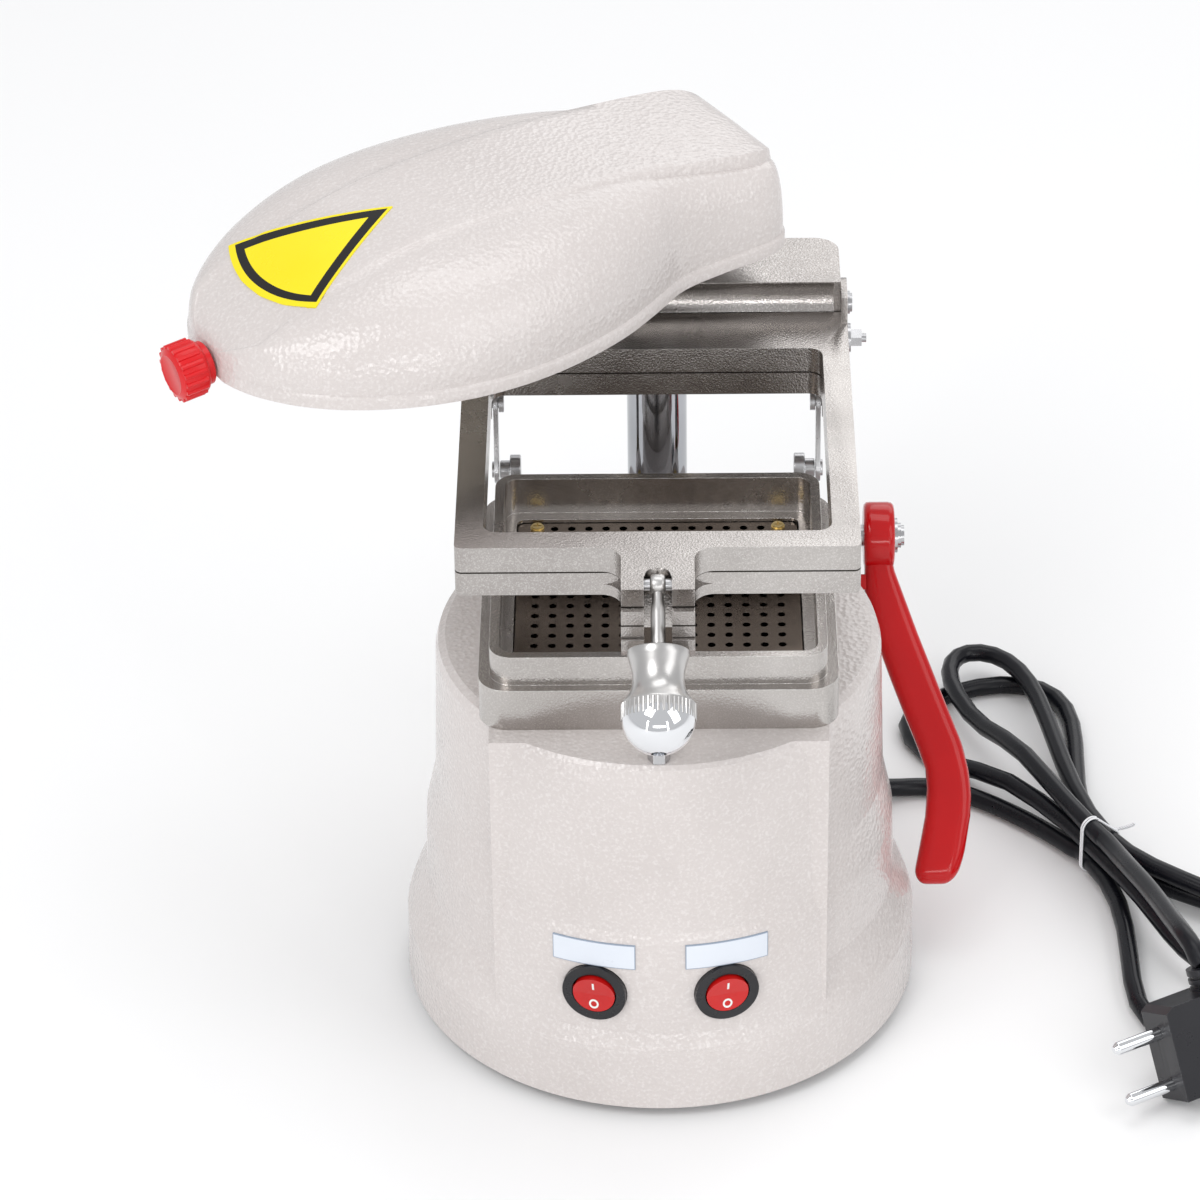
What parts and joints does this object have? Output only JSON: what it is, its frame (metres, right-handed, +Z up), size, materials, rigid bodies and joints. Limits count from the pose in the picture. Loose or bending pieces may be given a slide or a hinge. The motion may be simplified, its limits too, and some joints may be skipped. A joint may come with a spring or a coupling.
{
  "type": "dental vacuum former",
  "caption": "Benchtop sheet former: cast pot with suction tray, hinged sheet frame lowered on a column by a side lever, and a dome heater that swings over it.",
  "frame": {"origin": "on the bench, under the axis of the round pot, at the bottom of the feet", "axes": "+Z up, the switches face -Y, +X is towards the lever's side (the user's right)"},
  "size_m": [0.4163, 0.3183, 0.2982],
  "materials": {
    "coat": "semi-gloss stoved paint on cast metal, warm light grey",
    "red_coat": "thick gloss red dip coating on flat steel",
    "nickel": "sand-cast aluminium, satin nickel look",
    "mirror_plate": "polished sheet with drilled holes",
    "chrome": "bright chrome",
    "steel": "zinc-plated steel",
    "brass": "plain brass",
    "aluminium": "pressed aluminium sheet",
    "ceramic": "unglazed refractory ceramic",
    "coil_wire": "oxidised resistance wire",
    "rubber": "black moulded rubber",
    "cord": "black rubber-sheathed cable",
    "black_plastic": "black moulded plastic",
    "white_plastic": "white moulded plastic",
    "red_plastic": "red moulded plastic, slightly clear on the rockers",
    "label": "white label film with a thin edge line",
    "decal": "yellow film with a black border",
    "tie_wire": "clear-coated wire tie"
  },
  "bodies": {
    "base": {"pot": "coat", "bottom_plate": "steel", "feet": "rubber", "foot_screws": "steel", "tray_gasket": "rubber", "tray": "nickel", "tray_screws": "steel", "hole_plate": "mirror_plate", "plate_screws": "brass", "post": "chrome", "post_nut": "steel", "post_collar": "steel", "post_cap": "steel", "frame_stop": "chrome", "stop_pin": "steel", "shaft_bushes": "brass", "switch_bodies": "black_plastic", "label_plates": "label", "motor": "steel", "motor_mount": "steel", "fan_housing": "aluminium", "suction_pipe": "rubber", "terminal_block": "white_plastic", "cord_gland": "black_plastic", "cord": "cord", "cord_coil": "cord", "cord_tail": "cord", "cord_tie": "tie_wire", "plug": "black_plastic", "plug_pins": "chrome"},
    "carriage": {"lower_frame": "nickel", "carriage_bush": "brass", "hinge_screws": "steel", "link_screws": "steel"},
    "upper_plate": {"upper_frame": "nickel", "clamp_pin": "steel", "side_screw": "steel"},
    "bolt": {"clamp_bolt": "steel"},
    "knob": {"clamp_knob": "steel", "clamp_ball": "chrome"},
    "link_pair": {"links": "steel"},
    "lever_set": {"lever": "red_coat", "cross_shaft": "steel", "cranks": "steel", "lever_screw": "steel"},
    "heater": {"heater_bracket": "steel", "hub_bush": "brass", "heater_cover": "coat", "reflector": "aluminium", "heater_element": "ceramic", "heater_coil": "coil_wire", "bracket_screws": "steel", "heater_knob": "red_plastic", "knob_stem": "steel", "heater_decal": "decal"},
    "left_rocker": {"rocker_left": "red_plastic"},
    "right_rocker": {"rocker_right": "red_plastic"},
    "fan_rotor": {"impeller": "black_plastic"}
  },
  "joints": [
    {"name": "frame_lift", "type": "slide", "parent": "base", "child": "carriage", "axis": [0, 0, -1], "range_m": [0, 0.044]},
    {"name": "lever_turn", "type": "hinge", "parent": "base", "child": "lever_set", "pos_m": [0, 0.0842, 0.1315], "axis": [-1, 0, 0], "range_deg": [0, 80.2]},
    {"name": "link_turn", "type": "hinge", "parent": "carriage", "child": "link_pair", "pos_m": [0, 0.088, 0.188], "axis": [1, 0, 0], "range_deg": [0, 82.5]},
    {"name": "plate_hinge", "type": "hinge", "parent": "carriage", "child": "upper_plate", "pos_m": [0, 0.088, 0.2295], "axis": [-1, 0, 0], "range_deg": [0, 4.5]},
    {"name": "bolt_swing", "type": "hinge", "parent": "upper_plate", "child": "bolt", "pos_m": [0, -0.0854, 0.2241], "axis": [-1, 0, 0], "range_deg": [0, 90.5]},
    {"name": "knob_turn", "type": "hinge", "parent": "bolt", "child": "knob", "pos_m": [0, -0.0854, 0.2241], "axis": [0, -0.7771, -0.6293], "continuous": true},
    {"name": "heater_swing", "type": "hinge", "parent": "base", "child": "heater", "pos_m": [0, 0.1, 0.25], "axis": [0, 0, 1], "range_deg": [-122, 58]},
    {"name": "left_switch", "type": "hinge", "parent": "base", "child": "left_rocker", "pos_m": [-0.02279, -0.08541, 0.053], "axis": [-0.9662, 0.2578, 0], "range_deg": [0, 12]},
    {"name": "right_switch", "type": "hinge", "parent": "base", "child": "right_rocker", "pos_m": [0.02279, -0.08541, 0.053], "axis": [-0.9662, -0.2578, 0], "range_deg": [0, 12]},
    {"name": "fan_spin", "type": "hinge", "parent": "base", "child": "fan_rotor", "pos_m": [0, 0, 0.1], "axis": [0, 0, 1], "continuous": true}
  ],
  "couplings": [
    {"joint": "lever_turn", "follows": "frame_lift", "rad_per_m": 31.773},
    {"joint": "link_turn", "follows": "frame_lift", "rad_per_m": 32.646},
    {"joint": "bolt_swing", "follows": "plate_hinge", "ratio": 20}
  ]
}
